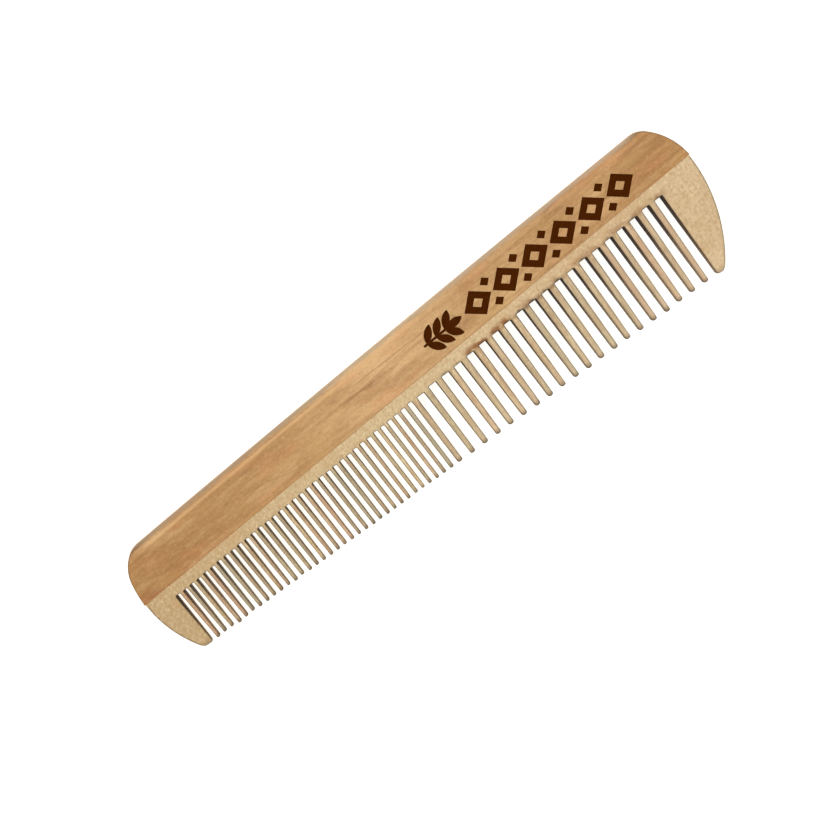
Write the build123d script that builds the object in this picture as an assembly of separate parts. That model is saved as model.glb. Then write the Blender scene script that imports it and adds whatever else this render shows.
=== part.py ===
"""Laminated wooden beard comb: a spine, a tooth board, its two rows of teeth and the glue.

Layout frame: +X runs along the comb towards the wide teeth, +Y towards the back, +Z up.
The teeth lie along -Y, and the underside is z = 0. Every part is finally moved so that the
origin is the centre of the comb's bounding box, on the underside. Millimetres.
"""
import math
import os

from build123d import *

# Overall sections
THICKNESS = 4.2
TIP_THICKNESS = 2.2
TIP_ROUNDING = 0.7

# Straight lines that cross the comb: height at x = 0, and rise per millimetre of x
ROOT_LINE = (0.0, 0.0362)
JOINT_LINE = (3.05, 0.0378)
TIP_LINE = (-13.63, -0.0274)

# Back edge: a long shallow bow between its two corners
BACK_LEFT = (-0.95, 14.75)
BACK_RIGHT = (146.7, 20.22)
BACK_BOW = 0.36
BACK_ROUNDING = 1.3
BACK_CORNER_ROUNDING = 1.8

# Each end is a tight arc from the back corner, then a slack arc down to the guard's tip
LEFT_TIGHT_END = (-6.13, 8.06)
LEFT_TIGHT_RADIUS = 9.5
LEFT_SLACK_RADIUS = 29.55
LEFT_GUARD_TIP_X = -2.7
RIGHT_TIGHT_END = (153.43, 7.46)
RIGHT_TIGHT_RADIUS = 16.3
RIGHT_SLACK_RADIUS = 38.9
RIGHT_GUARD_TIP_X = 145.2
GUARD_TIP_ROUNDING = 0.8
END_EASING = 0.5

# The tooth board is dressed a little shorter than the spine at both ends
END_STEP = 0.25

# Saw cuts between the teeth
FINE_GAPS = 35
FINE_FIRST_X = 0.64
FINE_PITCH = 2.0
FINE_GAP = 1.1
LAST_FINE_SHIFT = 0.17
COARSE_GAPS = 20
COARSE_FIRST_X = 71.81
COARSE_PITCH = 3.677
COARSE_GAP_ROOT = 2.0
COARSE_GAP_TIP = 2.3

# Stopped tongue and groove, glued
TONGUE_HEIGHT = 3.0
TONGUE_THICKNESS = 1.4
TONGUE_START_X = -2.0
TONGUE_END_X = 148.0
TONGUE_BURIED = 1.0
GLUE = 0.1

# Burnt ornament on the front of the spine
BURN_DEPTH = 0.15
ORNAMENT_HEIGHT_OVER_ROOT = 7.9
SPRIG_X = 84.6
SPRIG_LENGTH = 11.0
SPRIG_STEM_WIDTH = 0.6
LEAF_LENGTH = 4.6
LEAF_BULGE = 0.96
LEAF_ANGLE = 47
LEAF_PAIRS = 3
LEAF_FIRST = 0.9
LEAF_SPACING = 2.6
LEAF_OVERLAP = 0.4
FRIEZE_START_X = 94.8
FRIEZE_LOZENGES = 6
FRIEZE_PITCH = 8.3
LOZENGE_WIDTH = 7.8
LOZENGE_HEIGHT = 6.8
LOZENGE_HOLE_SHARE = 0.37
SPACER_SHARE = 0.34
SPACER_OFFSET_SHARE = 0.41

# Construction lengths: REACH runs past anything nearby, and NEAR counts as touching
REACH = 50.0
NEAR = 0.001


def height(line, x):
    """Y of one of the crossing lines at x."""
    start, rise = line
    return start + rise * x


def plan_face(edges):
    """A flat face from a closed chain of edges."""
    return make_face(Curve() + edges)


def polygon_face(points):
    """A flat face with straight sides through the points."""
    return make_face(Polyline(*points, close=True))


def comb_outline(end_inset):
    """The comb's outline from above, with each end moved inwards by end_inset."""
    back_left = (BACK_LEFT[0] + end_inset, BACK_LEFT[1])
    back_right = (BACK_RIGHT[0] - end_inset, BACK_RIGHT[1])
    left_join = (LEFT_TIGHT_END[0] + end_inset, LEFT_TIGHT_END[1])
    right_join = (RIGHT_TIGHT_END[0] - end_inset, RIGHT_TIGHT_END[1])
    left_tip = (LEFT_GUARD_TIP_X + end_inset, height(TIP_LINE, LEFT_GUARD_TIP_X))
    right_tip = (RIGHT_GUARD_TIP_X - end_inset, height(TIP_LINE, RIGHT_GUARD_TIP_X))
    face = plan_face(
        [
            SagittaArc(back_left, back_right, BACK_BOW),
            RadiusArc(back_right, right_join, RIGHT_TIGHT_RADIUS),
            RadiusArc(right_join, right_tip, RIGHT_SLACK_RADIUS),
            Line(right_tip, left_tip),
            RadiusArc(left_tip, left_join, LEFT_SLACK_RADIUS),
            RadiusArc(left_join, back_left, LEFT_TIGHT_RADIUS),
        ]
    )
    face = fillet(face.vertices().sort_by(Axis.Y)[:2], GUARD_TIP_ROUNDING)
    return fillet(face.vertices().sort_by(Axis.Y)[-2:], BACK_CORNER_ROUNDING)


def strip(line, low, high, start_x, end_x):
    """The flat band between two offsets from a crossing line."""
    return polygon_face(
        [
            (start_x, height(line, start_x) + low),
            (end_x, height(line, end_x) + low),
            (end_x, height(line, end_x) + high),
            (start_x, height(line, start_x) + high),
        ]
    )


def joint_slab(low, high):
    """A slab beside the joint line, as thick as the comb, that runs past both ends."""
    start_x = LEFT_TIGHT_END[0] - REACH
    end_x = RIGHT_TIGHT_END[0] + REACH
    return extrude(strip(JOINT_LINE, low, high, start_x, end_x), THICKNESS)


def tongue_prism(clearance):
    """The tongue, or with a clearance the groove that takes it."""
    start_x = TONGUE_START_X - clearance
    end_x = TONGUE_END_X + clearance
    plan = strip(JOINT_LINE, -TONGUE_BURIED, TONGUE_HEIGHT + clearance, start_x, end_x)
    bottom = (THICKNESS - TONGUE_THICKNESS) / 2 - clearance
    return Pos(0, 0, bottom) * extrude(plan, TONGUE_THICKNESS + 2 * clearance)


def ease_rim(solid):
    """Rounds the curved edges of the top and bottom faces, and leaves those on the joint."""

    def on_rim(edge):
        level = edge.center().Z
        on_face = min(level, THICKNESS - level) < NEAR
        return on_face and edge.geom_type == GeomType.CIRCLE

    return fillet(solid.edges().filter_by(on_rim), END_EASING)


def rounded_back():
    """A long bar whose rounded edge is the comb's bowed back, carried past both corners."""
    left = Vector(*BACK_LEFT)
    right = Vector(*BACK_RIGHT)
    half_chord = (right - left).length / 2
    radius = (half_chord**2 + BACK_BOW**2) / (2 * BACK_BOW)
    along = (right - left).normalized()
    outward = Vector(-along.Y, along.X)
    centre = (left + right) / 2 + outward * (BACK_BOW - radius)
    half_angle = math.asin((half_chord + REACH) / radius)

    def on_back(angle):
        return centre + (outward * math.cos(angle) + along * math.sin(angle)) * radius

    start = on_back(-half_angle)
    end = on_back(half_angle)
    arc = ThreePointArc(start, on_back(0), end)
    inside = Polyline(end, end - outward * REACH, start - outward * REACH, start)
    bar = extrude(plan_face([arc, inside]), THICKNESS)
    return fillet(bar.edges().filter_by(GeomType.CIRCLE), BACK_ROUNDING)


def lozenge(width, tall):
    """A diamond centred on the origin."""
    return polygon_face([(-width / 2, 0), (0, tall / 2), (width / 2, 0), (0, -tall / 2)])


def leaf():
    """A pointed leaf that grows from the origin along +X."""
    tip = (LEAF_LENGTH, 0)
    return plan_face([SagittaArc((0, 0), tip, LEAF_BULGE), SagittaArc(tip, (0, 0), LEAF_BULGE)])


def sprig():
    """A stem along +X with leaves in pairs and one at its end, centred on the origin."""
    start_x = -SPRIG_LENGTH / 2
    stem_length = SPRIG_LENGTH - LEAF_LENGTH + LEAF_OVERLAP
    shapes = Pos(start_x + stem_length / 2, 0) * Rectangle(stem_length, SPRIG_STEM_WIDTH)
    shapes += Pos(start_x + stem_length - LEAF_OVERLAP, 0) * leaf()
    for pair in range(LEAF_PAIRS):
        root = Pos(start_x + LEAF_FIRST + LEAF_SPACING * pair, 0)
        for side in (-1, 1):
            shapes += root * Rot(0, 0, side * LEAF_ANGLE) * leaf()
    return shapes


def frieze():
    """A row of pierced lozenges with a small solid one between neighbours."""
    hole = lozenge(LOZENGE_WIDTH * LOZENGE_HOLE_SHARE, LOZENGE_HEIGHT * LOZENGE_HOLE_SHARE)
    pierced = lozenge(LOZENGE_WIDTH, LOZENGE_HEIGHT) - hole
    spacer = lozenge(LOZENGE_WIDTH * SPACER_SHARE, LOZENGE_HEIGHT * SPACER_SHARE)
    offset = LOZENGE_HEIGHT * SPACER_OFFSET_SHARE
    shapes = Sketch()
    for index in range(FRIEZE_LOZENGES):
        shapes += Pos(index * FRIEZE_PITCH, 0) * pierced
        if index:
            shapes += Pos((index - 0.5) * FRIEZE_PITCH, offset) * spacer
            shapes += Pos((index - 0.5) * FRIEZE_PITCH, -offset) * spacer
    return shapes


def on_spine(x):
    """A place on the spine's front face, turned to run along the tooth roots."""
    turn = math.degrees(math.atan(ROOT_LINE[1]))
    y = height(ROOT_LINE, x) + ORNAMENT_HEIGHT_OVER_ROOT
    return Pos(x, y, THICKNESS - BURN_DEPTH) * Rot(0, 0, turn)


def make_spine():
    """The back of the comb: lengthwise grain, rounded back edge, grooved for the tongue."""
    bar = extrude(comb_outline(0), THICKNESS) & joint_slab(0, REACH)
    bar = ease_rim(bar) & rounded_back()
    bar -= tongue_prism(GLUE)
    bar -= on_spine(SPRIG_X) * extrude(sprig(), THICKNESS)
    bar -= on_spine(FRIEZE_START_X) * extrude(frieze(), THICKNESS)
    return bar


def taper_section(x):
    """The board's section at x: full thickness to the tooth roots, thinner to rounded tips."""
    top = height(JOINT_LINE, x) + REACH
    root = height(ROOT_LINE, x)
    tip = height(TIP_LINE, x)
    shoulder = tip + TIP_ROUNDING
    cut = (THICKNESS - TIP_THICKNESS) / 2
    upper = (0, shoulder, THICKNESS - cut)
    lower = (0, shoulder, cut)
    section = plan_face(
        [
            Polyline(lower, (0, root, 0), (0, top, 0), (0, top, THICKNESS), (0, root, THICKNESS), upper),
            ThreePointArc(upper, (0, tip, THICKNESS / 2), lower),
        ]
    )
    return Pos(x, 0, 0) * section


def gap_cutter(x, root_width, tip_width):
    """The saw cut centred on x, from the root line to past the tips."""
    left_x = x - root_width / 2
    right_x = x + root_width / 2
    root = height(ROOT_LINE, x)
    tip = height(TIP_LINE, x)
    mouth = tip - REACH
    spread = (tip_width - root_width) / (root - tip)
    mouth_width = root_width + spread * (root - mouth)
    plan = polygon_face(
        [
            (left_x, height(ROOT_LINE, left_x)),
            (right_x, height(ROOT_LINE, right_x)),
            (x + mouth_width / 2, mouth),
            (x - mouth_width / 2, mouth),
        ]
    )
    return extrude(plan, THICKNESS)


def fine_gap_x(index):
    """Centre of a fine gap. The last one is a little wide of the pitch."""
    shift = LAST_FINE_SHIFT if index == FINE_GAPS - 1 else 0.0
    return FINE_FIRST_X + FINE_PITCH * index + shift


def coarse_gap_x(index):
    """Centre of a coarse gap."""
    return COARSE_FIRST_X + COARSE_PITCH * index


def gap_cutters():
    """All the saw cuts: the fine row, then the coarse row."""
    cutters = [gap_cutter(fine_gap_x(index), FINE_GAP, FINE_GAP) for index in range(FINE_GAPS)]
    for index in range(COARSE_GAPS):
        cutters.append(gap_cutter(coarse_gap_x(index), COARSE_GAP_ROOT, COARSE_GAP_TIP))
    return cutters


def teeth_zone(start_x, end_x):
    """Everything on the tooth side of the root line between two gap centres."""
    return extrude(strip(ROOT_LINE, -REACH, 0, start_x, end_x), THICKNESS)


def make_toothed_board():
    """The whole paler board as sawn: grain along the teeth, tongue on top, guards and teeth."""
    plate = ease_rim(extrude(comb_outline(END_STEP), THICKNESS) & joint_slab(-REACH, -GLUE))
    left = taper_section(LEFT_TIGHT_END[0] - REACH)
    right = taper_section(RIGHT_TIGHT_END[0] + REACH)
    plate &= loft([left, right], ruled=True)
    return plate + tongue_prism(0) - gap_cutters()


def make_glue_line():
    """The cured glue: a film on both shoulders and round the tongue."""
    shoulders = ease_rim(extrude(comb_outline(END_STEP), THICKNESS)) & joint_slab(-GLUE, 0)
    lining = tongue_prism(GLUE) & joint_slab(0, REACH)
    return shoulders + lining - tongue_prism(0)


def main():
    board = make_toothed_board()
    fine_zone = teeth_zone(fine_gap_x(0), fine_gap_x(FINE_GAPS - 1))
    coarse_zone = teeth_zone(fine_gap_x(FINE_GAPS - 1), coarse_gap_x(COARSE_GAPS - 1))
    parts = {
        "spine": make_spine(),
        "tooth_board": board - fine_zone - coarse_zone,
        "fine_teeth": board & fine_zone,
        "coarse_teeth": board & coarse_zone,
        "glue_line": make_glue_line(),
    }
    bounds = Compound(children=[Compound(part.wrapped) for part in parts.values()]).bounding_box()
    centre = bounds.center()
    to_origin = Pos(-centre.X, -centre.Y, -bounds.min.Z)
    os.makedirs("parts", exist_ok=True)
    for name, part in parts.items():
        placed = to_origin * part
        export_step(placed, f"parts/{name}.step")
        size = placed.bounding_box().size
        print(f"{name}: {len(placed.solids())} solids, {placed.volume:.0f} mm3, "
              f"{size.X:.2f} x {size.Y:.2f} x {size.Z:.2f} mm")


main()
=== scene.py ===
"""Looks of the two-wood beard comb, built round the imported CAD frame.

Plan lengths are millimetres in the comb's layout: +X runs along the comb towards the wide
teeth, +Y towards the back, the teeth lie along -Y and the underside is z = 0. to_frame()
turns them into the frame's metres, with the origin at the middle of the underside.
"""

import math
import random
from collections import namedtuple

import bmesh
import bpy
from mathutils import Matrix, Vector
from mathutils.geometry import delaunay_2d_cdt


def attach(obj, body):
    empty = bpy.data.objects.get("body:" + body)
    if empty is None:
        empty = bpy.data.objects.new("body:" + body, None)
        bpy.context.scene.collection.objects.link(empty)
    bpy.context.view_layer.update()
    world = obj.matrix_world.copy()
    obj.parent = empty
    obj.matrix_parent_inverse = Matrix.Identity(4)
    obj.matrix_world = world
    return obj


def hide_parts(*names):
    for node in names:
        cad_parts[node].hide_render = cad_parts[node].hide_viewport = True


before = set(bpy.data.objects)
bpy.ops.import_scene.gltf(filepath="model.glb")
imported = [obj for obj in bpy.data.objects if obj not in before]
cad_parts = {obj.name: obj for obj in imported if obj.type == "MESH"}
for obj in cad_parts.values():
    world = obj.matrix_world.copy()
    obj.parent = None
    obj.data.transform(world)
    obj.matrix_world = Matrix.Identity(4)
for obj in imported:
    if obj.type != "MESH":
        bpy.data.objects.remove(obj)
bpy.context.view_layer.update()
random.seed(41)  # the same uneven teeth every time

MM = 0.001
LAYOUT_CENTRE = (73.252, 1.305)

# The stretch of the comb that the woods' slow change of colour is spread over
ZONES_START_X = -6.0
ZONES_LENGTH = 160.0

# Sections
THICKNESS = 4.2
MIDDLE_Z = THICKNESS / 2
FINE_TIP_THICKNESS = 2.0
COARSE_TIP_THICKNESS = 2.6
TAPER_START = 0.05

# Straight lines that cross the comb: height at x = 0, and rise per millimetre of x
ROOT_LINE = (0.0, 0.0362)
JOINT_LINE = (3.05, 0.0378)
TIP_LINE = (-13.63, -0.0274)
GLUE = 0.1

# Outline: a bowed back, and at each end a tight arc and a slack arc down to the guard's tip
BACK_LEFT = (-0.95, 14.75)
BACK_RIGHT = (146.7, 20.22)
BACK_BOW = 0.36
BACK_CORNER_REACH = 1.35
LEFT_TIGHT_END = (-6.13, 8.06)
LEFT_TIGHT_RADIUS = 9.5
LEFT_SLACK_RADIUS = 29.55
LEFT_GUARD_TIP_X = -2.7
RIGHT_TIGHT_END = (153.43, 7.46)
RIGHT_TIGHT_RADIUS = 16.3
RIGHT_SLACK_RADIUS = 38.9
RIGHT_GUARD_TIP_X = 145.2
GUARD_TIP_ROUNDING = 0.8
END_STEP = 0.25
ARC_STEP = 0.8
BACK_STEP = 2.0

# Edge roundings, as how far in and how far down
BACK_EDGE = (1.35, 1.45)
END_EDGE = (0.7, 0.6)
JOINT_EDGE = (0.05, 0.05)
ROOT_EDGE = (0.3, 0.3)
SIDE_EDGE = (0.36, 0.38)
GUARD_CORNER_EDGE = (0.4, 0.5)
TIP_EDGE_SHARE = 0.6
ROUND_STEPS = 5

# Saw cuts between the teeth
FINE_GAPS = 35
FINE_FIRST_X = 0.64
FINE_PITCH = 2.0
FINE_GAP = (1.1, 1.14)
LAST_FINE_SHIFT = 0.17
COARSE_GAPS = 20
COARSE_FIRST_X = 71.81
COARSE_PITCH = 3.677
COARSE_GAP = (2.0, 2.3)
KERF_CORNER = 0.16

# How uneven the sawing is, as standard deviations. A gap's are its place, its width as a share,
# and its depth. A tooth's are its tip's height, its lean at the tip and the points of its sides.
FINE_SCATTER = (0.02, 0.02, 0.06)
COARSE_SCATTER = (0.03, 0.015, 0.08)
TIP_SCATTER = 0.09
LEAN_SCATTER = 0.025
SIDE_SCATTER = 0.008

# Teeth: where their sides have points, from the root (0) to the shoulder of the tip (1)
SIDE_ROWS = (0.04, 0.1, 0.18, 0.28, 0.4, 0.52, 0.64, 0.75, 0.85, 0.93, 1.0)
GUARD_SIDE_ROWS = (0.1, 0.25, 0.4, 0.55, 0.7, 0.85, 0.94, 1.0)
TIP_ARC_STEPS = 8
TIP_BLUNTNESS = 0.68

# Points inside the flat faces, which keep their triangles small: how many, from where and how
# far apart. Each span of the guards is its first x, its last x and the x that its height is for.
BAND_SEEDS = 150
BAND_SEED_X = -4.5
BAND_SEED_STEP = 1.04
GUARD_SEED_STEP = 1.1
GUARD_SEED_MARGIN = 0.75
GUARD_SEED_SPANS = ((-4.6, -0.6, 0.0), (142.4, 152.6, 142.0))
SPINE_SEEDS = 38
SPINE_SEED_STEP = 4.0
SPINE_SEED_HEIGHT = 14.5
BOARD_JOINT_STEPS = 80
SPINE_JOINT_STEPS = 60

# Ornament
BURN_DEPTH = 0.15
ORNAMENT_HEIGHT_OVER_ROOT = 7.9
SPRIG_X = 84.6
SPRIG_LENGTH = 11.0
SPRIG_STEM_WIDTH = 0.6
LEAF_LENGTH = 4.6
LEAF_BULGE = 0.96
LEAF_ANGLE = 47
LEAF_PAIRS = 3
LEAF_FIRST = 0.9
LEAF_SPACING = 2.6
LEAF_OVERLAP = 0.4
LEAF_STEP = 0.45
FRIEZE_START_X = 94.8
FRIEZE_LOZENGES = 6
FRIEZE_PITCH = 8.3
LOZENGE_WIDTH = 7.8
LOZENGE_HEIGHT = 6.8
LOZENGE_HOLE_SHARE = 0.37
SPACER_SHARE = 0.34
SPACER_OFFSET_SHARE = 0.41


def line_y(line, x):
    """Y of one of the crossing lines at x."""
    return line[0] + line[1] * x


def to_frame(x, y, z):
    """A layout point in millimetres as a frame point in metres."""
    return Vector(((x - LAYOUT_CENTRE[0]) * MM, (y - LAYOUT_CENTRE[1]) * MM, z * MM))


def mix(low, high, share):
    """The value that is the given share of the way from low to high."""
    return low + (high - low) * share


def ease(low, high, value):
    """0 below low, 1 above high, smooth between."""
    share = min(max((value - low) / (high - low), 0.0), 1.0)
    return share * share * (3 - 2 * share)


def coarse_share(x):
    """0 among the fine teeth, 1 among the wide ones."""
    return ease(60, 90, x)


def foot_shade_share(x):
    """0 on the left, where the feet of the gap walls get little painted shade, 1 on the right, where
    full.
    """
    return ease(25, 75, x)


# ---------------------------------------------------------------------------------------
# Plan outlines
# ---------------------------------------------------------------------------------------

def outward_arc(start, end, radius, step=ARC_STEP):
    """Points from start to end, counter-clockwise round a centre on the left. Leaves out end."""
    start = Vector(start)
    end = Vector(end)
    chord = end - start
    middle = (start + end) / 2
    left = Vector((-chord.y, chord.x)).normalized()
    centre = middle + left * math.sqrt(radius**2 - (chord.length / 2) ** 2)
    first = math.atan2(start.y - centre.y, start.x - centre.x)
    turn = 2 * math.asin(chord.length / 2 / radius)
    count = max(2, math.ceil(turn * radius / step))
    points = []
    for index in range(count):
        angle = first + turn * index / count
        points.append((centre.x + radius * math.cos(angle), centre.y + radius * math.sin(angle)))
    return points


def bend(start, corner, end, share):
    """A point of the curve from start to end that leans on the corner."""
    x = (1 - share) ** 2 * start[0] + 2 * share * (1 - share) * corner[0] + share**2 * end[0]
    y = (1 - share) ** 2 * start[1] + 2 * share * (1 - share) * corner[1] + share**2 * end[1]
    return x, y


def round_corner(points, corner, reach):
    """Replaces the points within reach of a corner by a curve that leans on it."""
    corner = Vector(corner)
    far = [index for index, point in enumerate(points) if (Vector(point) - corner).length > reach]
    first_cut = next(i for i in range(len(points)) if i not in far and (i - 1) % len(points) in far)
    last_cut = first_cut
    while (last_cut + 1) % len(points) not in far:
        last_cut = (last_cut + 1) % len(points)
    before = points[first_cut - 1]
    after = points[(last_cut + 1) % len(points)]
    curve = [bend(before, corner, after, share) for share in (0.15, 0.3, 0.45, 0.6, 0.75, 0.9)]
    if last_cut >= first_cut:
        return points[:first_cut] + curve + points[last_cut + 1:]
    return points[last_cut + 1:first_cut] + curve


def comb_outline(inset):
    """The comb's outline, counter-clockwise, with each end moved inwards by inset."""
    back_left = (BACK_LEFT[0] + inset, BACK_LEFT[1])
    back_right = (BACK_RIGHT[0] - inset, BACK_RIGHT[1])
    left_join = (LEFT_TIGHT_END[0] + inset, LEFT_TIGHT_END[1])
    right_join = (RIGHT_TIGHT_END[0] - inset, RIGHT_TIGHT_END[1])
    left_tip = (LEFT_GUARD_TIP_X + inset, line_y(TIP_LINE, LEFT_GUARD_TIP_X))
    right_tip = (RIGHT_GUARD_TIP_X - inset, line_y(TIP_LINE, RIGHT_GUARD_TIP_X))
    half_chord = (Vector(back_right) - Vector(back_left)).length / 2
    back_radius = (half_chord**2 + BACK_BOW**2) / (2 * BACK_BOW)
    points = outward_arc(right_tip, right_join, RIGHT_SLACK_RADIUS)
    points += outward_arc(right_join, back_right, RIGHT_TIGHT_RADIUS)
    points += outward_arc(back_right, back_left, back_radius, BACK_STEP)
    points += outward_arc(back_left, left_join, LEFT_TIGHT_RADIUS)
    points += outward_arc(left_join, left_tip, LEFT_SLACK_RADIUS)
    points.append(left_tip)
    points = round_corner(points, back_right, BACK_CORNER_REACH)
    return round_corner(points, back_left, BACK_CORNER_REACH)


def beyond_line(points, line, offset, sign):
    """The points on one side of a crossing line (sign 1: above), and where the outline meets it."""
    def over(point):
        return sign * (point[1] - line_y(line, point[0]) - offset)

    kept = []
    for index, point in enumerate(points[:-1]):
        following = points[index + 1]
        if over(point) > 0:
            kept.append(point)
        if over(point) * over(following) < 0:
            share = over(point) / (over(point) - over(following))
            kept.append((mix(point[0], following[0], share), mix(point[1], following[1], share)))
    if over(points[-1]) > 0:
        kept.append(points[-1])
    return kept


# ---------------------------------------------------------------------------------------
# Plates with rounded rims
# ---------------------------------------------------------------------------------------

# One outline point: its place, how far its rounding goes in and down, how dark its rounding is
# painted (painted shade on the tooth board, the mask of the painted sheen and shade on the spine)
# below the upper edge, at the edge itself and at the wall's foot, and the tone and hue of its tooth
Rim = namedtuple(
    "Rim", "x y inset drop wall_scorch edge_scorch foot_scorch tone hue", defaults=(0.0, 0.0)
)


def inward_normals(points):
    """For each outline point, the move that shifts both its sides inwards by one."""
    moves = []
    count = len(points)
    for index in range(count):
        here = Vector(points[index])
        ahead = (Vector(points[(index + 1) % count]) - here).normalized()
        behind = (here - Vector(points[index - 1])).normalized()
        left_ahead = Vector((-ahead.y, ahead.x))
        left_behind = Vector((-behind.y, behind.x))
        moves.append((left_ahead + left_behind) / max(1 + left_ahead.dot(left_behind), 0.6))
    return moves


def inside(loop, x, y):
    """Whether a point lies in a closed loop of points."""
    crossings = False
    for index, (ax, ay) in enumerate(loop):
        bx, by = loop[index - 1]
        if (ay > y) != (by > y) and x < (bx - ax) * (y - ay) / (by - ay) + ax:
            crossings = not crossings
    return crossings


def in_shapes(shapes, x, y):
    """Whether a point lies in any shape. A shape is an outer loop and the loops of its holes."""
    return any(sum(inside(loop, x, y) for loop in shape) % 2 for shape in shapes)


def flat_fill(rim_points, seeds, shapes):
    """Triangles that fill the outline, through the seeds and along every shape's edges."""
    flat = [Vector(point) for point in rim_points + seeds]
    count = len(rim_points)
    edges = [(index, (index + 1) % count) for index in range(count)]
    for shape in shapes:
        for loop in shape:
            start = len(flat)
            flat += [Vector(point) for point in loop]
            edges += [(start + i, start + (i + 1) % len(loop)) for i in range(len(loop))]
    points, _, faces, origins, _, _ = delaunay_2d_cdt(flat, edges, [], 1, 1e-5)
    source = [origin[0] if origin else None for origin in origins]
    return points, faces, source


def rounded_plate(name, rims, seeds, seed_values, top, bottom, shapes=()):
    """A closed mesh between top(x, y) and bottom(x, y), with its edge rounded as the rims say.

    The seeds are points inside both faces, with the tone and hue of each in seed_values. The
    shapes are sunk into the upper face by BURN_DEPTH.
    """
    mesh = bpy.data.meshes.new(name)
    shell = bmesh.new()
    # The first layer holds painted shade on the tooth board's walls and the spine's mask of painted
    # sheen and shade
    layers = {key: shell.verts.layers.float.new(key) for key in ("scorch", "tone", "hue", "burn")}

    def vertex(x, y, z, scorch=0.0, tone=0.0, hue=0.0, burn=0.0):
        new = shell.verts.new(to_frame(x, y, z))
        new[layers["scorch"]] = scorch
        new[layers["tone"]] = tone
        new[layers["hue"]] = hue
        new[layers["burn"]] = burn
        return new

    moves = inward_normals([(rim.x, rim.y) for rim in rims])

    def ring(step, surface, sign):
        """The rim's vertices at one step of the rounding, from the face (0) to the wall."""
        angle = math.radians(90 * step / ROUND_STEPS)
        vertices = []
        for rim, move in zip(rims, moves):
            x = rim.x + move.x * rim.inset * (1 - math.sin(angle))
            y = rim.y + move.y * rim.inset * (1 - math.sin(angle))
            z = surface(x, y) - sign * rim.drop * (1 - math.cos(angle))
            wall_scorch = rim.wall_scorch if sign > 0 else rim.foot_scorch
            scorch = mix(rim.edge_scorch, wall_scorch, ease(0.0, 0.8, step / ROUND_STEPS))
            vertices.append(vertex(x, y, z, scorch, rim.tone, rim.hue))
        return vertices

    upper = [ring(step, top, 1) for step in range(ROUND_STEPS + 1)]
    lower = [ring(step, bottom, -1) for step in range(ROUND_STEPS + 1)]
    rings = upper + lower[::-1]
    for above, below in zip(rings, rings[1:]):
        for index in range(len(rims)):
            after = (index + 1) % len(rims)
            shell.faces.new((above[index], below[index], below[after], above[after]))

    edge_points = [
        (rim.x + move.x * rim.inset, rim.y + move.y * rim.inset) for rim, move in zip(rims, moves)
    ]

    def close_face(face_shapes, surface, border, flip):
        """Fills the inside of a border ring, with the shapes sunk below the rest."""
        points, faces, source = flat_fill(edge_points, seeds, face_shapes)
        high = {}
        low = {}

        def corner(index, sunk):
            cache = low if sunk else high
            if index not in cache:
                origin = source[index]
                x, y = points[index]
                if sunk:
                    cache[index] = vertex(x, y, surface(x, y) - BURN_DEPTH, burn=1.0)
                elif origin is not None and origin < len(border):
                    cache[index] = border[origin]
                elif origin is not None and origin < len(border) + len(seeds):
                    tone, hue = seed_values[origin - len(border)]
                    cache[index] = vertex(x, y, surface(x, y), 0.0, tone, hue)
                else:
                    cache[index] = vertex(x, y, surface(x, y))
            return cache[index]

        sides = {}
        for face in faces:
            x = sum(points[index].x for index in face) / len(face)
            y = sum(points[index].y for index in face) / len(face)
            sunk = in_shapes(face_shapes, x, y)
            corners = [corner(index, sunk) for index in face]
            shell.faces.new(corners[::-1] if flip else corners)
            for index, start in enumerate(face):
                sides[(start, face[(index + 1) % len(face)])] = sunk
        for (start, end), sunk in sides.items():
            if sunk and sides.get((end, start)) is False:
                shell.faces.new((high[start], high[end], low[end], low[start]))

    close_face(shapes, top, upper[0], flip=False)
    close_face((), bottom, lower[0], flip=True)
    shell.normal_update()
    shell.to_mesh(mesh)
    shell.free()
    mesh.shade_smooth()
    piece = bpy.data.objects.new(name, mesh)
    bpy.context.scene.collection.objects.link(piece)
    piece.modifiers.new("even_normals", "WEIGHTED_NORMAL").keep_sharp = True
    return piece


# ---------------------------------------------------------------------------------------
# The tooth board: band, guards and teeth in one piece of wood
# ---------------------------------------------------------------------------------------

# One gap: its middle, half its width at the root and at the tips, and how far its closed end is
# off the root line
Gap = namedtuple("Gap", "x root_half tip_half depth")


def saw_cuts():
    """Every gap from left to right, each a little off its ideal place, width and depth."""
    fine_places = [FINE_FIRST_X + FINE_PITCH * index for index in range(FINE_GAPS)]
    fine_places[-1] += LAST_FINE_SHIFT
    coarse_places = [COARSE_FIRST_X + COARSE_PITCH * index for index in range(COARSE_GAPS)]
    gaps = []
    for places, widths, scatter in (
        (fine_places, FINE_GAP, FINE_SCATTER),
        (coarse_places, COARSE_GAP, COARSE_SCATTER),
    ):
        for place in places:
            x = place + random.gauss(0, scatter[0])
            width = 1 + random.gauss(0, scatter[1])
            depth = random.gauss(0, scatter[2])
            gaps.append(Gap(x, widths[0] / 2 * width, widths[1] / 2 * width, depth))
    return gaps


def gap_root(gap):
    """Y of the closed end of a gap."""
    return line_y(ROOT_LINE, gap.x) + gap.depth


def half_gap(gap, y):
    """Half of a gap's width at a height on its walls."""
    share = (line_y(ROOT_LINE, gap.x) - y) / (line_y(ROOT_LINE, gap.x) - line_y(TIP_LINE, gap.x))
    return mix(gap.root_half, gap.tip_half, share)


def half_thickness(x, y):
    """Half of the board's thickness: full down to the roots, then thinner towards the tips."""
    root = line_y(ROOT_LINE, x)
    share = min(max((root - y) / (root - line_y(TIP_LINE, x)), 0.0), 1.0)
    tip = mix(FINE_TIP_THICKNESS, COARSE_TIP_THICKNESS, ease(50, 90, x)) / 2
    soft_share = math.hypot(share, TAPER_START) - TAPER_START
    return mix(MIDDLE_Z, tip, soft_share)


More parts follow.
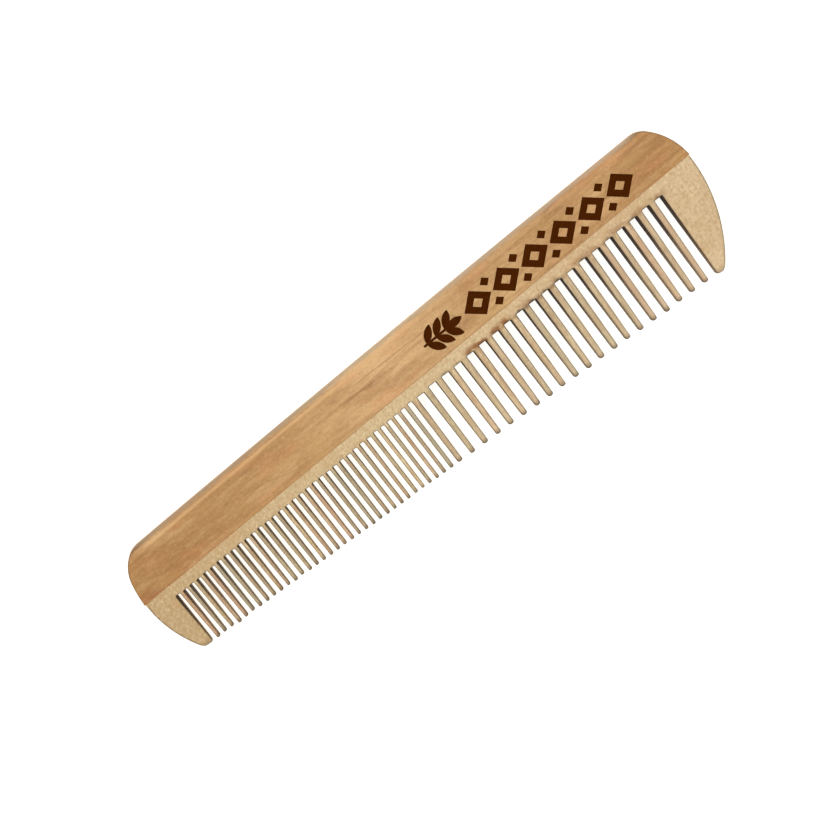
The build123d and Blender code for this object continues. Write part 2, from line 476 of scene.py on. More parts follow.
def board_top(x, y):
    """Z of the board's upper face."""
    return MIDDLE_Z + half_thickness(x, y)


def board_bottom(x, y):
    """Z of the board's lower face."""
    return MIDDLE_Z - half_thickness(x, y)


def tooth_rims(left_gap, right_gap):
    """One tooth: down its left side, round the tip and up its right side, and its middle line."""
    middle_x = (left_gap.x + right_gap.x) / 2
    tip = line_y(TIP_LINE, middle_x) + random.gauss(0, TIP_SCATTER)
    tone = max(random.gauss(1.5, 0.7), 0.2)
    hue = random.gauss(0, 1)
    lean = random.gauss(0, LEAN_SCATTER)
    half_width = (right_gap.x - left_gap.x - left_gap.tip_half - right_gap.tip_half) / 2
    shoulder = tip + half_width * TIP_BLUNTNESS
    tip_inset = half_width * TIP_EDGE_SHARE

    def side(gap, sign, share):
        """The point on one side of the tooth at a share of its length."""
        root = gap_root(gap) - KERF_CORNER
        y = mix(root, shoulder, share)
        x = gap.x + sign * half_gap(gap, y) + lean * share + random.gauss(0, SIDE_SCATTER)
        slim = ease(0.5, 1.0, share)
        inset = mix(min(SIDE_EDGE[0], tip_inset), tip_inset, slim)
        drop = mix(SIDE_EDGE[1], half_thickness(x, y) * 0.6, slim)
        # Painted shade on the walls between the teeth: darkest at the root, and darker among the
        # wide teeth
        near_root = mix(0.72, 1.0, coarse_share(x))
        near_tip = mix(0.46, 0.56, coarse_share(x))
        scorch = mix(near_root, near_tip, ease(0.0, 0.7, share))
        foot = scorch * mix(0.1, 0.9, foot_shade_share(x))
        here = ease(-0.1, 0.15, share)
        return Rim(x, y, inset, drop, scorch, 0.14, foot, tone * here, hue * here)

    left = [side(left_gap, 1, share) for share in SIDE_ROWS]
    right = [side(right_gap, -1, share) for share in reversed(SIDE_ROWS)]
    centre_x = (left[-1].x + right[0].x) / 2
    reach_x = (right[0].x - left[-1].x) / 2
    arc = []
    for step in range(1, TIP_ARC_STEPS):
        angle = math.pi * (1 + step / TIP_ARC_STEPS)
        x = centre_x + reach_x * math.cos(angle)
        y = shoulder + (shoulder - tip) * math.sin(angle)
        # The tip's rounding is painted dark, as shade
        arc.append(Rim(x, y, tip_inset, left[-1].drop, 0.9, 0.3, 0.9, tone, hue))
    seeds = []
    values = []
    for low, high in zip(left, reversed(right)):
        seeds.append(((low.x + high.x) / 2, (low.y + high.y) / 2))
        values.append((low.tone, low.hue))
    return left + arc + right, seeds, values


def kerf_root(gap):
    """The closed end of a gap, from its left wall to its right wall."""
    root = gap_root(gap)
    # The root's wall is painted fully dark as shade; its upper edge is painted darker on the wide
    # gaps
    edge = mix(0.1, max(random.gauss(0.6, 0.2), 0.15), coarse_share(gap.x))
    foot = mix(0.1, 0.9, foot_shade_share(gap.x))
    rims = []
    for side, angles in ((-1, (180, 150, 120, 90)), (1, (90, 60, 30, 0))):
        centre_x = gap.x + side * (gap.root_half - KERF_CORNER)
        for angle in angles:
            x = centre_x + KERF_CORNER * math.cos(math.radians(angle))
            y = root - KERF_CORNER + KERF_CORNER * math.sin(math.radians(angle))
            rims.append(Rim(x, y, *ROOT_EDGE, 1.0, edge * 0.6, foot))
    middle = Rim(gap.x, root, *ROOT_EDGE, 1.0, edge, foot)
    return rims[:4] + [middle] + rims[4:]


def guard_side(gap, sign, tip_y):
    """A guard's straight side on its gap, from the root down to the guard's tip."""
    rims = []
    root = gap_root(gap) - KERF_CORNER
    for share in GUARD_SIDE_ROWS:
        y = mix(root, tip_y + 0.5, share)
        x = gap.x + sign * half_gap(gap, y)
        # Painted shade on the guard's wall, lighter towards its tip
        wall = mix(1.0, 0.62, share)
        foot = mix(0.15, 0.85, foot_shade_share(gap.x)) * mix(1.0, 0.6, share)
        rims.append(Rim(x, y, *SIDE_EDGE, wall, 0.1, foot))
    corner_x = gap.x + sign * (half_gap(gap, tip_y) + 0.12)
    rims.append(Rim(corner_x, tip_y + 0.15, 0.3, 0.4, 0.7, 0.1, 0.6))
    rims.append(Rim(corner_x + sign * 0.35, tip_y, 0.35, 0.5, 0.6, 0.1, 0.5))
    return rims


def outer_rims(points):
    """The board's outer curve, eased like the rest of the comb's ends, its rounding painted darker
    as shade.
    """
    return [Rim(x, y, *END_EDGE, 0.7, 0.05, 0.4) for x, y in points]


def guard_corner(start, tip, end):
    """The rounded outer corner of a guard: a curve from start to end that leans on the tip, its
    rounding painted darker as shade.
    """
    places = [bend(start, tip, end, share) for share in (0.0, 0.25, 0.5, 0.75, 1.0)]
    return [Rim(x, y, *GUARD_CORNER_EDGE, 0.6, 0.08, 0.5) for x, y in places]


def joint_rims(start, end, steps):
    """Evenly spaced points along the glued joint, both ends included."""
    rims = []
    for step in range(steps + 1):
        x = mix(start[0], end[0], step / steps)
        y = mix(start[1], end[1], step / steps)
        rims.append(Rim(x, y, *JOINT_EDGE, 0.0, 0.0, 0.0))
    return rims


def board_curves():
    """The board's outer curve on the right, going up, and on the left, going down to the tip."""
    board_side = beyond_line(comb_outline(END_STEP), JOINT_LINE, -GLUE, -1)
    strides = [abs(ahead[0] - here[0]) for here, ahead in zip(board_side, board_side[1:])]
    split = strides.index(max(strides)) + 1
    return board_side[:split], board_side[split:]


def band_seeds():
    """Two rows of points in the band between the joint and the roots of the teeth."""
    seeds = []
    for column in range(BAND_SEEDS):
        x = BAND_SEED_X + column * BAND_SEED_STEP
        for share in (0.3, 0.65):
            seeds.append((x, mix(line_y(JOINT_LINE, x) - GLUE, line_y(ROOT_LINE, x), share)))
    return seeds


def guard_seeds(rims):
    """A grid of points in both guards, clear of their edges."""
    outline = [(rim.x, rim.y) for rim in rims]
    seeds = []
    for low_x, high_x, root_x in GUARD_SEED_SPANS:
        x = low_x
        while x < high_x:
            y = line_y(ROOT_LINE, root_x) - 0.4
            while y > line_y(TIP_LINE, root_x) + 0.9:
                if inside(outline, x, y) and clear_of(outline, x, y, GUARD_SEED_MARGIN):
                    seeds.append((x, y))
                y -= GUARD_SEED_STEP
            x += GUARD_SEED_STEP
    return seeds


def clear_of(points, x, y, distance):
    """Whether a place keeps its distance from every point."""
    return all(math.hypot(px - x, py - y) > distance for px, py in points)


def make_tooth_board():
    """The paler wood: its edge runs counter-clockwise from the left guard's tip."""
    gaps = saw_cuts()
    right_curve, left_curve = board_curves()
    left_tip = left_curve[-1]
    right_tip = right_curve[0]
    left_curve = [point for point in left_curve if point[1] > left_tip[1] + GUARD_TIP_ROUNDING]
    right_curve = [point for point in right_curve if point[1] > right_tip[1] + GUARD_TIP_ROUNDING]
    left_flat = (left_tip[0] + GUARD_TIP_ROUNDING, left_tip[1])
    right_flat = (right_tip[0] - GUARD_TIP_ROUNDING, right_tip[1])

    rims = guard_corner(left_curve[-1], left_tip, left_flat)[1:]
    rims += guard_side(gaps[0], -1, line_y(TIP_LINE, 0))[::-1]
    seeds = []
    seed_values = []
    for gap, following in zip(gaps, gaps[1:]):
        rims += kerf_root(gap)
        tooth, tooth_seeds, tooth_values = tooth_rims(gap, following)
        rims += tooth
        seeds += tooth_seeds
        seed_values += tooth_values
    rims += kerf_root(gaps[-1])
    rims += guard_side(gaps[-1], 1, line_y(TIP_LINE, gaps[-1].x))
    rims += guard_corner(right_flat, right_tip, right_curve[0])[:-1]
    rims += outer_rims(right_curve[:-1])
    rims += joint_rims(right_curve[-1], left_curve[0], BOARD_JOINT_STEPS)
    rims += outer_rims(left_curve[1:])

    plain_seeds = band_seeds() + guard_seeds(rims)
    seeds += plain_seeds
    seed_values += [(0.0, 0.0)] * len(plain_seeds)
    return rounded_plate("tooth_board_piece", rims, seeds, seed_values, board_top, board_bottom)


# ---------------------------------------------------------------------------------------
# The spine and its ornament
# ---------------------------------------------------------------------------------------

def lozenge(x, y, share=1.0):
    """A diamond's corners."""
    wide = LOZENGE_WIDTH / 2 * share
    tall = LOZENGE_HEIGHT / 2 * share
    return [(x - wide, y), (x, y - tall), (x + wide, y), (x, y + tall)]


def leaf(x, y, angle):
    """A pointed leaf from (x, y), as a loop of points."""
    half = LEAF_LENGTH / 2
    radius = (half**2 + LEAF_BULGE**2) / (2 * LEAF_BULGE)
    loop = outward_arc((0, 0), (LEAF_LENGTH, 0), radius, LEAF_STEP)
    loop += outward_arc((LEAF_LENGTH, 0), (0, 0), radius, LEAF_STEP)
    turn = Matrix.Rotation(math.radians(angle), 2)
    return [(x + spot.x, y + spot.y) for spot in (turn @ Vector(point) for point in loop)]


def sprig():
    """The stem, the paired leaves and the end leaf, along +X about the origin."""
    start_x = -SPRIG_LENGTH / 2
    stem_length = SPRIG_LENGTH - LEAF_LENGTH + LEAF_OVERLAP
    half = SPRIG_STEM_WIDTH / 2
    end_x = start_x + stem_length
    shapes = [[[(start_x, -half), (end_x, -half), (end_x, half), (start_x, half)]]]
    shapes.append([leaf(end_x - LEAF_OVERLAP, 0, 0)])
    for pair in range(LEAF_PAIRS):
        for side in (-1, 1):
            shapes.append([leaf(start_x + LEAF_FIRST + LEAF_SPACING * pair, 0, side * LEAF_ANGLE)])
    return shapes


def frieze():
    """A row of pierced lozenges with small solid ones above and below between neighbours."""
    shapes = []
    offset = LOZENGE_HEIGHT * SPACER_OFFSET_SHARE
    for index in range(FRIEZE_LOZENGES):
        x = index * FRIEZE_PITCH
        shapes.append([lozenge(x, 0), lozenge(x, 0, LOZENGE_HOLE_SHARE)])
        if index:
            between = x - FRIEZE_PITCH / 2
            shapes.append([lozenge(between, offset, SPACER_SHARE)])
            shapes.append([lozenge(between, -offset, SPACER_SHARE)])
    return shapes


def on_spine(shapes, start_x):
    """The shapes moved to the spine and turned to run along the tooth roots."""
    turn = Matrix.Rotation(math.atan(ROOT_LINE[1]), 2)
    origin = Vector((start_x, line_y(ROOT_LINE, start_x) + ORNAMENT_HEIGHT_OVER_ROOT))
    return [
        [[tuple(turn @ Vector(point) + origin) for point in loop] for loop in shape]
        for shape in shapes
    ]


def make_spine():
    """The darker wood: rounded back, eased ends, and the burnt ornament sunk into its face."""
    arc = beyond_line(comb_outline(0), JOINT_LINE, 0, 1)
    rims = []
    for x, y in arc:
        from_left = ease(-4.0, 1.5, x)
        from_right = 1 - ease(143.0, 149.5, x)
        near_back = ease(8.5, 13.0, y) * from_left * from_right
        inset = mix(END_EDGE[0], BACK_EDGE[0], near_back)
        drop = mix(END_EDGE[1], BACK_EDGE[1], near_back)
        # Mask on the rounding for the painted grey sheen near the back and the painted brown shade
        # at the ends
        rims.append(Rim(x, y, inset, drop, mix(0.8, 1.0, near_back), 0.0, 0.8))
    rims = rims[1:-1] + joint_rims(rims[-1], rims[0], SPINE_JOINT_STEPS)
    seeds = []
    for column in range(SPINE_SEEDS):
        x = column * SPINE_SEED_STEP
        high = SPINE_SEED_HEIGHT + JOINT_LINE[1] * x
        for share in (0.3, 0.6):
            seeds.append((x, mix(line_y(JOINT_LINE, x), high, share)))
    seed_values = [(0.0, 0.0)] * len(seeds)
    shapes = on_spine(sprig(), SPRIG_X) + on_spine(frieze(), FRIEZE_START_X)
    return rounded_plate(
        "spine_piece", rims, seeds, seed_values, lambda x, y: THICKNESS, lambda x, y: 0.0, shapes
    )


# ---------------------------------------------------------------------------------------
# Materials
# ---------------------------------------------------------------------------------------

def srgb(red, green, blue):
    """A colour given as it looks on screen, 0 to 255, as linear values for a shader."""
    linear = []
    for value in (red, green, blue):
        share = value / 255
        linear.append(share / 12.92 if share <= 0.04045 else ((share + 0.055) / 1.055) ** 2.4)
    return (*linear, 1.0)


class Graph:
    """A short way to write a material's nodes."""

    def __init__(self, name):
        self.material = bpy.data.materials.new(name)
        self.material.use_nodes = True
        self.tree = self.material.node_tree
        self.shader = self.tree.nodes["Principled BSDF"]

    def node(self, kind, **settings):
        """A new node with the given settings."""
        new = self.tree.nodes.new(kind)
        for key, value in settings.items():
            setattr(new, key, value)
        return new

    def link(self, source, target):
        self.tree.links.new(source, target)

    def feed(self, target, value):
        """Puts a value into a socket: another node's output, or a constant."""
        if isinstance(value, bpy.types.NodeSocket):
            self.link(value, target)
        else:
            target.default_value = value

    def math(self, operation, first, second=0.0, clamp=False):
        node = self.node("ShaderNodeMath", operation=operation, use_clamp=clamp)
        self.feed(node.inputs[0], first)
        self.feed(node.inputs[1], second)
        return node.outputs[0]

    def times(self, first, second, clamp=False):
        return self.math("MULTIPLY", first, second, clamp)

    def plus(self, first, second, clamp=False):
        return self.math("ADD", first, second, clamp)

    def minus(self, first, second):
        return self.math("SUBTRACT", first, second)

    def between(self, value, low, high):
        """0 at low and 1 at high, smooth and clamped."""
        node = self.node("ShaderNodeMapRange", interpolation_type="SMOOTHSTEP")
        self.feed(node.inputs["Value"], value)
        node.inputs["From Min"].default_value = low
        node.inputs["From Max"].default_value = high
        return node.outputs["Result"]

    def window(self, value, start, full, fade, stop):
        """1 from full to fade, falling smoothly to 0 at start and at stop."""
        rise = self.between(value, start, full)
        fall = self.between(value, stop, fade)
        return self.times(rise, fall)

    def mix(self, share, first, second):
        """The first colour where the share is 0, the second where it is 1."""
        node = self.node("ShaderNodeMix", data_type="RGBA")
        self.feed(node.inputs["Factor"], share)
        self.feed(node.inputs[6], first)
        self.feed(node.inputs[7], second)
        return node.outputs[2]

    def tint(self, colour, where, strength, added):
        """The colour with another added where the mask is 1, as strongly as strength says."""
        return self.mix(self.times(where, strength), colour, added)

    def millimetres(self, along=1.0, across=1.0, deep=1.0, turn=0.0, shift=(0.0, 0.0, 0.0)):
        """Places for a noise, with so many of its cells to a millimetre along each axis."""
        place = self.node("ShaderNodeTexCoord")
        spin = self.node("ShaderNodeMapping")
        spin.inputs["Rotation"].default_value = (0.0, 0.0, math.radians(turn))
        self.link(place.outputs["Object"], spin.inputs["Vector"])
        stretch = self.node("ShaderNodeMapping")
        stretch.inputs["Scale"].default_value = (along / MM, across / MM, deep / MM)
        stretch.inputs["Location"].default_value = shift
        self.link(spin.outputs["Vector"], stretch.inputs["Vector"])
        return stretch.outputs["Vector"]

    def noise(self, vector, detail, roughness=0.5, distortion=0.0):
        """A cloudy value from 0 to 1, mostly near 0.5."""
        node = self.node("ShaderNodeTexNoise")
        self.link(vector, node.inputs["Vector"])
        node.inputs["Scale"].default_value = 1.0
        node.inputs["Detail"].default_value = detail
        node.inputs["Roughness"].default_value = roughness
        node.inputs["Distortion"].default_value = distortion
        return node.outputs["Fac"]

    def attribute(self, name):
        """One of the numbers that rounded_plate() stores at each vertex."""
        node = self.node("ShaderNodeAttribute", attribute_name=name)
        return node.outputs["Fac"]

    def position(self):
        """X and Y in layout millimetres, and Z in millimetres."""
        place = self.node("ShaderNodeTexCoord")
        parts = self.node("ShaderNodeSeparateXYZ")
        self.link(place.outputs["Object"], parts.inputs[0])
        x = self.plus(self.times(parts.outputs[0], 1 / MM), LAYOUT_CENTRE[0])
        y = self.plus(self.times(parts.outputs[1], 1 / MM), LAYOUT_CENTRE[1])
        z = self.times(parts.outputs[2], 1 / MM)
        return x, y, z

    def share_of_length(self, x):
        """How far along the comb a point is: 0 near its left end, 1 near its right end."""
        return self.math("DIVIDE", self.minus(x, ZONES_START_X), ZONES_LENGTH)

    def over_line(self, line, x, y):
        """How far a point is above one of the crossing lines."""
        return self.minus(y, self.plus(self.times(x, line[1]), line[0]))

    def under_back(self, x, y):
        """How far a point is under the bowed back edge."""
        rise = (BACK_RIGHT[1] - BACK_LEFT[1]) / (BACK_RIGHT[0] - BACK_LEFT[0])
        middle = (BACK_RIGHT[0] + BACK_LEFT[0]) / 2
        half = (BACK_RIGHT[0] - BACK_LEFT[0]) / 2
        across = self.math("DIVIDE", self.minus(x, middle), half)
        bow = self.times(self.minus(1.0, self.math("POWER", across, 2.0)), BACK_BOW)
        straight = self.over_line((BACK_LEFT[1] - rise * BACK_LEFT[0], rise), x, y)
        return self.minus(bow, straight)

    def bump(self, height, distance, strength=1.0, normal=None):
        node = self.node("ShaderNodeBump")
        node.inputs["Strength"].default_value = strength
        node.inputs["Distance"].default_value = distance * MM
        self.link(height, node.inputs["Height"])
        if normal is not None:
            self.link(normal, node.inputs["Normal"])
        return node.outputs["Normal"]

    def ramp(self, value, stops):
        """A colour for each place: (place, colour)."""
        node = self.node("ShaderNodeValToRGB")
        elements = node.color_ramp.elements
        while len(elements) < len(stops):
            elements.new(0.5)
        for element, (place, colour) in zip(elements, stops):
            element.position = place
            element.color = colour
        self.link(value, node.inputs["Fac"])
        return node.outputs["Color"]


def layered(g, colour, layers):
    """The colour with each layer tinted in: (mask, strength, colour)."""
    for where, strength, added in layers:
        colour = g.tint(colour, where, strength, added)
    return colour


def spine_grain(g, x, y, fibres, streaks, pores):
    """The bare wood: zones along the comb, growth rings, veins, blotches and pores."""
    zones = g.ramp(
        g.share_of_length(x),
        [
            (0.0, srgb(163, 116, 66)),
            (0.12, srgb(169, 125, 74)),
            (0.3, srgb(180, 137, 86)),
            (0.47, srgb(210, 170, 120)),
            (0.62, srgb(188, 147, 98)),
            (0.8, srgb(180, 137, 88)),
            (1.0, srgb(172, 125, 72)),
        ],
    )
    above_joint = g.over_line(JOINT_LINE, x, y)
    low_stripe = g.times(g.between(above_joint, 3.6, 0.2), g.between(x, 30.0, -4.0))
    blotches = g.noise(g.millimetres(0.05, 0.2, 0.2, turn=-1.5), 4.0, 0.6)
    bands = g.noise(g.millimetres(0.016, 0.34, 0.25, turn=-1.5), 3.0, 0.55, 0.3)
    waves = g.noise(g.millimetres(0.011, 0.13, 0.1, turn=-2.0), 2.0)
    rings = g.math("SINE", g.times(waves, 46.0))
    mottle = g.noise(g.millimetres(0.45, 0.9, 0.9), 3.0, 0.6)
    veins = g.noise(g.millimetres(0.035, 1.0, 1.0, turn=-1.5, shift=(8.0, 2.0, 0)), 2.0, 0.5, 0.3)
    warmth = g.noise(g.millimetres(0.06, 0.25, 0.25, shift=(2.0, 9.0, 0)), 3.0, 0.6)
    dots = g.noise(g.millimetres(1.3, 1.6, 1.6, shift=(1.0, 4.0, 0)), 3.0, 0.7)
    return layered(
        g,
        zones,
        [
            (low_stripe, 0.5, srgb(160, 96, 54)),
            (g.between(blotches, 0.5, 0.68), 0.45, srgb(152, 108, 64)),
            (g.between(blotches, 0.5, 0.32), 0.4, srgb(216, 176, 124)),
            (g.between(bands, 0.52, 0.7), 0.26, srgb(154, 106, 62)),
            (g.between(rings, 0.86, 1.0), 0.3, srgb(134, 90, 50)),
            (g.between(streaks, 0.5, 0.72), 0.22, srgb(142, 96, 54)),
            (g.between(streaks, 0.5, 0.3), 0.18, srgb(218, 182, 132)),
            (g.between(mottle, 0.5, 0.68), 0.18, srgb(146, 104, 62)),
            (g.between(fibres, 0.48, 0.75), 0.14, srgb(138, 94, 54)),
            (g.between(pores, 0.64, 0.76), 0.22, srgb(112, 70, 38)),
            (g.between(veins, 0.62, 0.72), 0.4, srgb(134, 92, 52)),
            (g.between(warmth, 0.52, 0.68), 0.3, srgb(204, 140, 92)),
            (g.between(warmth, 0.48, 0.32), 0.25, srgb(196, 162, 100)),
            (g.between(dots, 0.5, 0.68), 0.2, srgb(146, 100, 58)),
            (g.between(dots, 0.5, 0.32), 0.16, srgb(224, 186, 136)),
        ],
    )


def spine_highlight_and_sheen(g, colour, x, y, z):
    """Painted highlight as a pale band below the back's rounding; painted grey sheen on it, brown
    shade at the ends.
    """
    under_back = g.under_back(x, y)
    away_from_ends = g.window(x, -2.0, 4.0, 142.0, 148.0)
    # Painted highlight: a pale band 0.9 to 2.1 mm under the back edge, weaker towards the wide teeth
    crest_highlight = g.times(g.window(under_back, 0.9, 1.4, 1.5, 2.1), away_from_ends)
    crest_highlight_strength = g.minus(0.42, g.times(g.between(x, 40.0, 90.0), 0.26))
    colour = g.tint(colour, crest_highlight, crest_highlight_strength, srgb(226, 182, 128))

    # Painted reflection: grey sheen on the back's rounding; painted shade: dark brown on the
    # rounding at the ends
    near_back = g.times(g.between(under_back, 3.5, 2.0), away_from_ends)
    sheen_grey = g.mix(g.between(x, 15.0, 90.0), srgb(140, 124, 103), srgb(166, 152, 131))
    sheen_and_shade_colour = g.mix(near_back, srgb(100, 78, 54), sheen_grey)
    off_middle = g.math("ABSOLUTE", g.minus(z, MIDDLE_Z))
    sheen_and_shade_mask = g.times(g.attribute("scorch"), g.between(off_middle, 0.2, 1.3))
    patchy = g.noise(g.millimetres(0.12, 0.5, 0.8, shift=(6.0, 3.0, 1.0)), 3.0, 0.6)
    sheen_and_shade_mask = g.times(sheen_and_shade_mask, g.plus(g.times(g.between(patchy, 0.3, 0.6), 0.35), 0.65))
    return g.tint(colour, g.between(sheen_and_shade_mask, 0.05, 0.8), 0.68, sheen_and_shade_colour)


def spine_wood():
    """Oiled hardwood with its grain along the comb, and the burnt ornament."""
    g = Graph("spine_wood")
    x, y, z = g.position()
    streaks = g.noise(g.millimetres(0.13, 0.8, 1.0, turn=-1.5), 3.0, 0.55, 0.4)
    fibres = g.noise(g.millimetres(0.45, 4.0, 5.0, turn=-1.5), 3.0, 0.7)
    pores = g.noise(g.millimetres(0.7, 4.0, 8.0, turn=-1.5, shift=(3.1, 7.7, 0)), 1.0, 0.5)
    colour = spine_grain(g, x, y, fibres, streaks, pores)
    colour = spine_highlight_and_sheen(g, colour, x, y, z)

    burn = g.attribute("burn")
    burn_and_shade_colour = g.mix(g.noise(g.millimetres(0.6, 2.0, 1.0), 3.0), srgb(54, 19, 0), srgb(76, 34, 0))
    colour = g.mix(g.between(burn, 0.05, 0.4), colour, burn_and_shade_colour)
    g.link(colour, g.shader.inputs["Base Color"])
    rough = g.plus(g.times(fibres, 0.2), 0.46)
    g.link(g.plus(rough, g.times(burn, 0.3), clamp=True), g.shader.inputs["Roughness"])
    shine = g.minus(0.3, g.times(burn, 0.27))
    g.link(shine, g.shader.inputs["Specular IOR Level"])
    relief = g.bump(fibres, 0.03, 0.6)
    relief = g.bump(streaks, 0.05, 0.4, relief)
    relief = g.bump(pores, 0.03, 0.5, relief)
    g.link(relief, g.shader.inputs["Normal"])
    return g.material


def tooth_grain(g, x, on_teeth, fibres, flecks):
    """The bare wood: zones along the comb, grain down the teeth, flecks and patches."""
    zones = g.ramp(
        g.share_of_length(x),
        [
            (0.0, srgb(184, 155, 113)),
            (0.45, srgb(202, 177, 135)),
            (0.8, srgb(202, 172, 132)),
            (1.0, srgb(203, 176, 136)),
        ],
    )
    grain = g.noise(g.millimetres(1.5, 0.1, 0.6, turn=2.0), 4.0, 0.6, 0.3)
    grit = g.noise(g.millimetres(3.6, 2.4, 3.5, turn=-20.0), 2.0, 0.6)
    patches = g.noise(g.millimetres(0.14, 0.25, 0.2), 3.0, 0.6)
    strength = g.plus(g.times(on_teeth, 0.6), 0.12)
    return layered(
        g,
        zones,
        [
            (g.between(grain, 0.5, 0.72), strength, srgb(166, 130, 84)),
            (g.between(grain, 0.5, 0.32), strength, srgb(240, 218, 174)),
            (g.between(fibres, 0.48, 0.7), strength, srgb(144, 114, 76)),
            (g.between(flecks, 0.5, 0.7), 0.45, srgb(164, 128, 82)),
            (g.between(flecks, 0.5, 0.3), 0.42, srgb(234, 210, 168)),
            (g.between(grit, 0.55, 0.75), 0.35, srgb(146, 110, 70)),
            (g.between(patches, 0.5, 0.7), 0.4, srgb(186, 148, 100)),
        ],
    )


def tooth_tones(g, colour, x, y, tone, on_teeth):
    """Each tooth duller, redder or greener than its neighbours, paler near the wide teeth's tips,
    with painted shade at the tip.
    """
    on_coarse = g.between(x, 60.0, 78.0)
    dull = g.mix(on_coarse, srgb(142, 132, 112), srgb(184, 168, 136))
    colour = g.mix(g.times(tone, 0.22, clamp=True), colour, dull)
    hue = g.attribute("hue")
    redder = g.math("MAXIMUM", hue, 0.0)
    greener = g.math("MAXIMUM", g.times(hue, -1.0), 0.0)
    above_tip = g.over_line(TIP_LINE, x, y)
    # Lighter within 8 mm of the tips on the wide teeth
    paler_near_tips = g.times(g.between(above_tip, 8.0, 2.0), on_coarse)
    tip_shade_strength = g.plus(g.times(on_teeth, 0.35), 0.45)
    return layered(
        g,
        colour,
        [
            (redder, 0.16, srgb(206, 148, 120)),
            (greener, 0.16, srgb(170, 164, 136)),
            (paler_near_tips, 0.15, srgb(236, 214, 180)),
            # Painted shade: darker within 1.7 mm of the tips
            (g.between(above_tip, 1.7, 0.0), tip_shade_strength, srgb(106, 86, 64)),
        ],
    )


def root_smudges(g, colour, x, y):
    """Brown smudges on the band just over the wide gaps, strongest nearer the fine teeth."""
    above_root = g.over_line(ROOT_LINE, x, y)
    over_gaps = g.window(above_root, -0.7, 0.2, 0.7, 2.0)
    strong = g.window(x, 82.0, 88.0, 98.0, 106.0)
    weak = g.times(g.window(x, 72.0, 100.0, 140.0, 146.0), 0.5)
    zone = g.times(over_gaps, g.math("MAXIMUM", strong, weak))
    cloud = g.noise(g.millimetres(0.4, 0.5, 0.3, shift=(5.0, 1.0, 0)), 3.0)
    smudge = g.times(g.between(cloud, 0.42, 0.58), zone)
    return g.tint(colour, smudge, 0.85, srgb(138, 84, 38))


def tooth_wood():
    """Paler wood with its grain along the teeth, toned tooth by tooth, with painted shade on gap
    walls, tips and ends.
    """
    g = Graph("tooth_wood")
    x, y, _ = g.position()
    tone = g.attribute("tone")
    on_teeth = g.between(tone, 0.0, 0.3)
    fibres = g.noise(g.millimetres(2.4, 0.25, 2.4, turn=2.0), 3.0, 0.7)
    flecks = g.noise(g.millimetres(1.7, 1.25, 1.4, turn=25.0), 3.0, 0.65, 0.3)
    colour = tooth_grain(g, x, on_teeth, fibres, flecks)
    colour = tooth_tones(g, colour, x, y, tone, on_teeth)
    colour = root_smudges(g, colour, x, y)

    # Painted shade: the gap walls, tooth tips and outer ends darkened towards a dark brown
    scorch = g.attribute("scorch")
    burn_and_shade_colour = g.mix(g.noise(g.millimetres(0.8, 0.8, 1.5), 3.0), srgb(42, 24, 12), srgb(72, 48, 30))
    colour = g.mix(g.between(scorch, 0.0, 0.95), colour, burn_and_shade_colour)
    g.link(colour, g.shader.inputs["Base Color"])
    rough = g.plus(g.times(fibres, 0.2), 0.5)
    g.link(g.plus(rough, g.times(scorch, 0.25), clamp=True), g.shader.inputs["Roughness"])
    relief = g.bump(fibres, 0.03, 0.6)
    relief = g.bump(flecks, 0.03, 0.5, relief)
    g.link(relief, g.shader.inputs["Normal"])
    g.shader.inputs["Specular IOR Level"].default_value = 0.25
    return g.material


def cured_glue():
    """Amber glue with dust in it."""
    g = Graph("cured_glue")
    dust = g.noise(g.millimetres(1.5, 1.5, 1.5), 3.0)
    g.link(g.mix(dust, srgb(150, 100, 56), srgb(186, 140, 92)), g.shader.inputs["Base Color"])
    g.link(g.plus(g.times(dust, 0.2), 0.35), g.shader.inputs["Roughness"])
    g.link(g.bump(dust, 0.02, 0.5), g.shader.inputs["Normal"])
    return g.material


def pale_floor():
    """A white sheet that also glows a little, as paper lit from beneath does."""
    g = Graph("pale_floor")
    speckle = g.noise(g.millimetres(0.05, 0.05, 0.05), 2.0)
    paper = g.mix(speckle, srgb(150, 149, 147), srgb(160, 159, 157))
    g.link(paper, g.shader.inputs["Base Color"])
    g.shader.inputs["Roughness"].default_value = 0.9
    g.shader.inputs["Specular IOR Level"].default_value = 0.1
    g.shader.inputs["Emission Color"].default_value = (1.0, 0.985, 0.93, 1.0)
    g.shader.inputs["Emission Strength"].default_value = 0.95
    return g.material


# ---------------------------------------------------------------------------------------
# Pieces
# ---------------------------------------------------------------------------------------

def dress(piece, material, nodes):
    """Gives a piece its material and its place in the frame."""
    piece.data.materials.clear()
    piece.data.materials.append(material)
    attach(piece, "root")
    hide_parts(*nodes)


dress(make_spine(), spine_wood(), ["spine"])
dress(make_tooth_board(), tooth_wood(), ["tooth_board", "fine_teeth", "coarse_teeth"])
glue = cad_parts["glue_line"]
glue.data.materials.clear()
glue.data.materials.append(cured_glue())


# ---------------------------------------------------------------------------------------
# Floor, light and camera
# ---------------------------------------------------------------------------------------

FLOOR_SIZE = 3.0
FLOOR_DROP = 0.0002


def make_floor():
    """A square sheet just under the comb, so that the two don't share a plane."""
    mesh = bpy.data.meshes.new("floor")
    half = FLOOR_SIZE / 2
    square = ((-half, -half), (half, -half), (half, half), (-half, half))
    corners = [(x, y, -FLOOR_DROP) for x, y in square]
    mesh.from_pydata(corners, [], [(0, 1, 2, 3)])
    floor = bpy.data.objects.new("floor", mesh)
    bpy.context.scene.collection.objects.link(floor)
    mesh.materials.append(pale_floor())


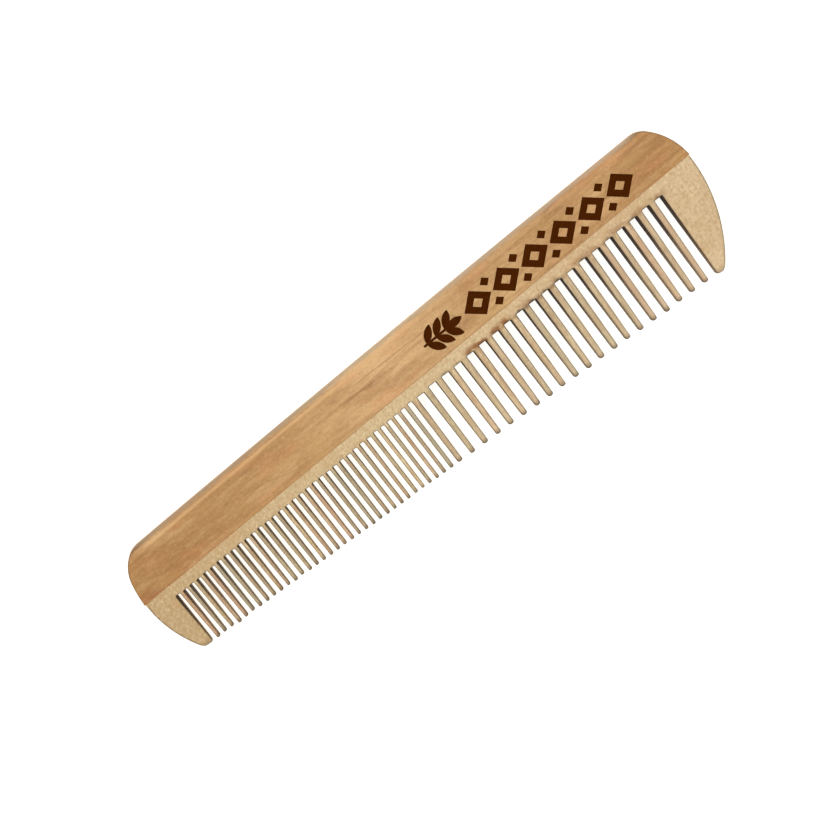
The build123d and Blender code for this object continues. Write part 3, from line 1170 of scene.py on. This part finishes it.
def make_light(name, place, size, power):
    """A round soft light that looks at the middle of the comb."""
    data = bpy.data.lights.new(name, "AREA")
    data.shape = "DISK"
    data.size = size
    data.energy = power
    light = bpy.data.objects.new(name, data)
    bpy.context.scene.collection.objects.link(light)
    light.location = place
    light.rotation_euler = (-Vector(place)).to_track_quat("-Z", "Y").to_euler()


def make_sky():
    """An even, slightly warm studio surround."""
    world = bpy.data.worlds.new("studio")
    world.use_nodes = True
    world.node_tree.nodes["Background"].inputs["Color"].default_value = (1.0, 0.99, 0.97, 1.0)
    world.node_tree.nodes["Background"].inputs["Strength"].default_value = 0.55
    bpy.context.scene.world = world


CAMERA_TILT = math.radians(10.0)
CAMERA_ROLL = math.radians(37.54)
CAMERA_PLACE = (67.68, 65.46, 374.23 + THICKNESS)
CAMERA_FOCAL_PIXELS = 1675.0
FRAME_WIDTH = 828
FRAME_HEIGHT = 834
SENSOR = 36.0


def make_camera():
    """A camera above the comb, tilted a little and rolled so that the comb lies across the frame."""
    forward = Vector((0, -math.sin(CAMERA_TILT), -math.cos(CAMERA_TILT)))
    level_up = Vector((0, math.cos(CAMERA_TILT), -math.sin(CAMERA_TILT)))
    level_right = Vector((1, 0, 0))
    right = level_right * math.cos(CAMERA_ROLL) - level_up * math.sin(CAMERA_ROLL)
    up = level_right * math.sin(CAMERA_ROLL) + level_up * math.cos(CAMERA_ROLL)
    data = bpy.data.cameras.new("camera")
    data.sensor_width = SENSOR
    data.lens = SENSOR * CAMERA_FOCAL_PIXELS / max(FRAME_WIDTH, FRAME_HEIGHT)
    data.clip_start = 0.01
    data.clip_end = 20.0
    camera = bpy.data.objects.new("camera", data)
    bpy.context.scene.collection.objects.link(camera)
    turn = Matrix((right, up, -forward)).transposed()
    camera.matrix_world = Matrix.Translation(to_frame(*CAMERA_PLACE)) @ turn.to_4x4()
    bpy.context.scene.camera = camera


make_floor()
make_sky()
make_light("key", (-0.25, 0.45, 0.75), size=0.55, power=5.0)
make_light("fill", (0.6, -0.3, 0.7), size=0.7, power=2.0)
make_camera()
bpy.context.scene.view_settings.view_transform = "Standard"
